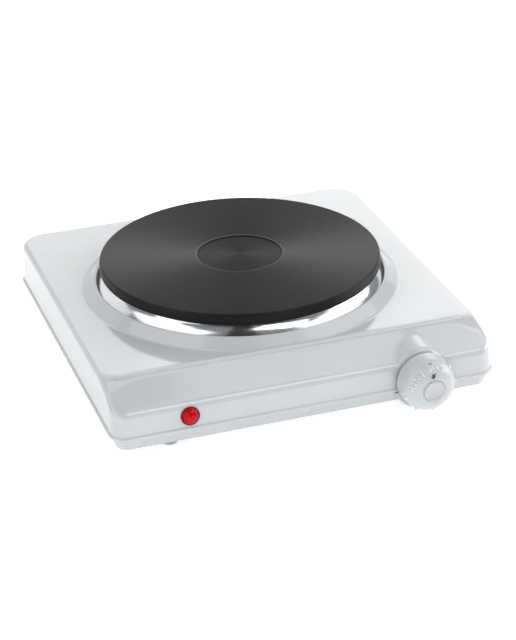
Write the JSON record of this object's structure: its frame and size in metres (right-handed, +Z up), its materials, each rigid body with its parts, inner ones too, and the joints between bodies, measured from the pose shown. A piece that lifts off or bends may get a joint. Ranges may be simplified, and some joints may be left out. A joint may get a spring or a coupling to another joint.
{
  "type": "hot plate burner",
  "caption": "Portable electric hot plate: square white housing, round cast-iron plate in a raised collar, front temperature knob and red pilot lamp.",
  "frame": {"origin": "on the table at the middle of the footprint", "axes": "+Z up through the cooking plate, -Y towards the front with the knob, +X to the right seen from the front"},
  "size_m": [0.247, 0.277, 0.0593],
  "materials": {
    "white_enamel": "glossy cool white stove paint on pressed sheet",
    "white_plastic": "satin white moulding",
    "white_gloss_plastic": "glossy white moulding",
    "grey_rubber": "matt grey rubber",
    "zinc_steel": "zinc-plated steel",
    "bright_steel": "bright steel",
    "cast_iron": "turned and blackened cast iron",
    "polished_steel": "polished stainless steel",
    "ceramic": "pressed ceramic",
    "heating_wire": "oxidised heating wire",
    "aluminised_sheet": "aluminised sheet",
    "brass_parts": "plain brass",
    "dark_print": "dark printed mark",
    "red_lens": "clear red moulding",
    "cream_plastic": "cream moulding",
    "neon_glass": "small glass bulb",
    "brown_insulation": "brown insulation",
    "blue_insulation": "blue insulation",
    "green_insulation": "green and yellow insulation"
  },
  "bodies": {
    "appliance": {"top_housing": "white_enamel", "base_tray": "white_plastic", "feet": "grey_rubber", "base_screws": "zinc_steel", "housing_brackets": "zinc_steel", "hot_plate": "cast_iron", "spill_ring": "polished_steel", "ceramic_mass": "ceramic", "heating_coils": "heating_wire", "coil_block": "ceramic", "coil_pins": "bright_steel", "plate_cover": "zinc_steel", "centre_stud": "zinc_steel", "clamp_bar": "zinc_steel", "stud_washer": "bright_steel", "stud_nut": "zinc_steel", "limiter": "ceramic", "limiter_clip": "bright_steel", "heat_shield": "aluminised_sheet", "shield_screws": "zinc_steel", "thermostat_body": "ceramic", "thermostat_bracket": "zinc_steel", "thermostat_screws": "zinc_steel", "thermostat_terminals": "brass_parts", "pilot_lens": "red_lens", "lamp_clip": "bright_steel", "lamp_barrel": "cream_plastic", "neon_bulb": "neon_glass", "terminal_block": "cream_plastic", "terminal_screws": "brass_parts", "cord_gland": "white_plastic", "earth_screw": "brass_parts", "earth_tag": "bright_steel", "brown_leads": "brown_insulation", "blue_leads": "blue_insulation", "earth_lead": "green_insulation"},
    "dial": {"control_shaft": "bright_steel", "knob": "white_gloss_plastic", "knob_marks": "dark_print", "knob_clip": "bright_steel"}
  },
  "joints": [
    {"name": "knob_turn", "type": "hinge", "parent": "appliance", "child": "dial", "pos_m": [0.0732, -0.1206, 0.0196], "axis": [0, 1, 0], "range_deg": [-320, 0]}
  ]
}
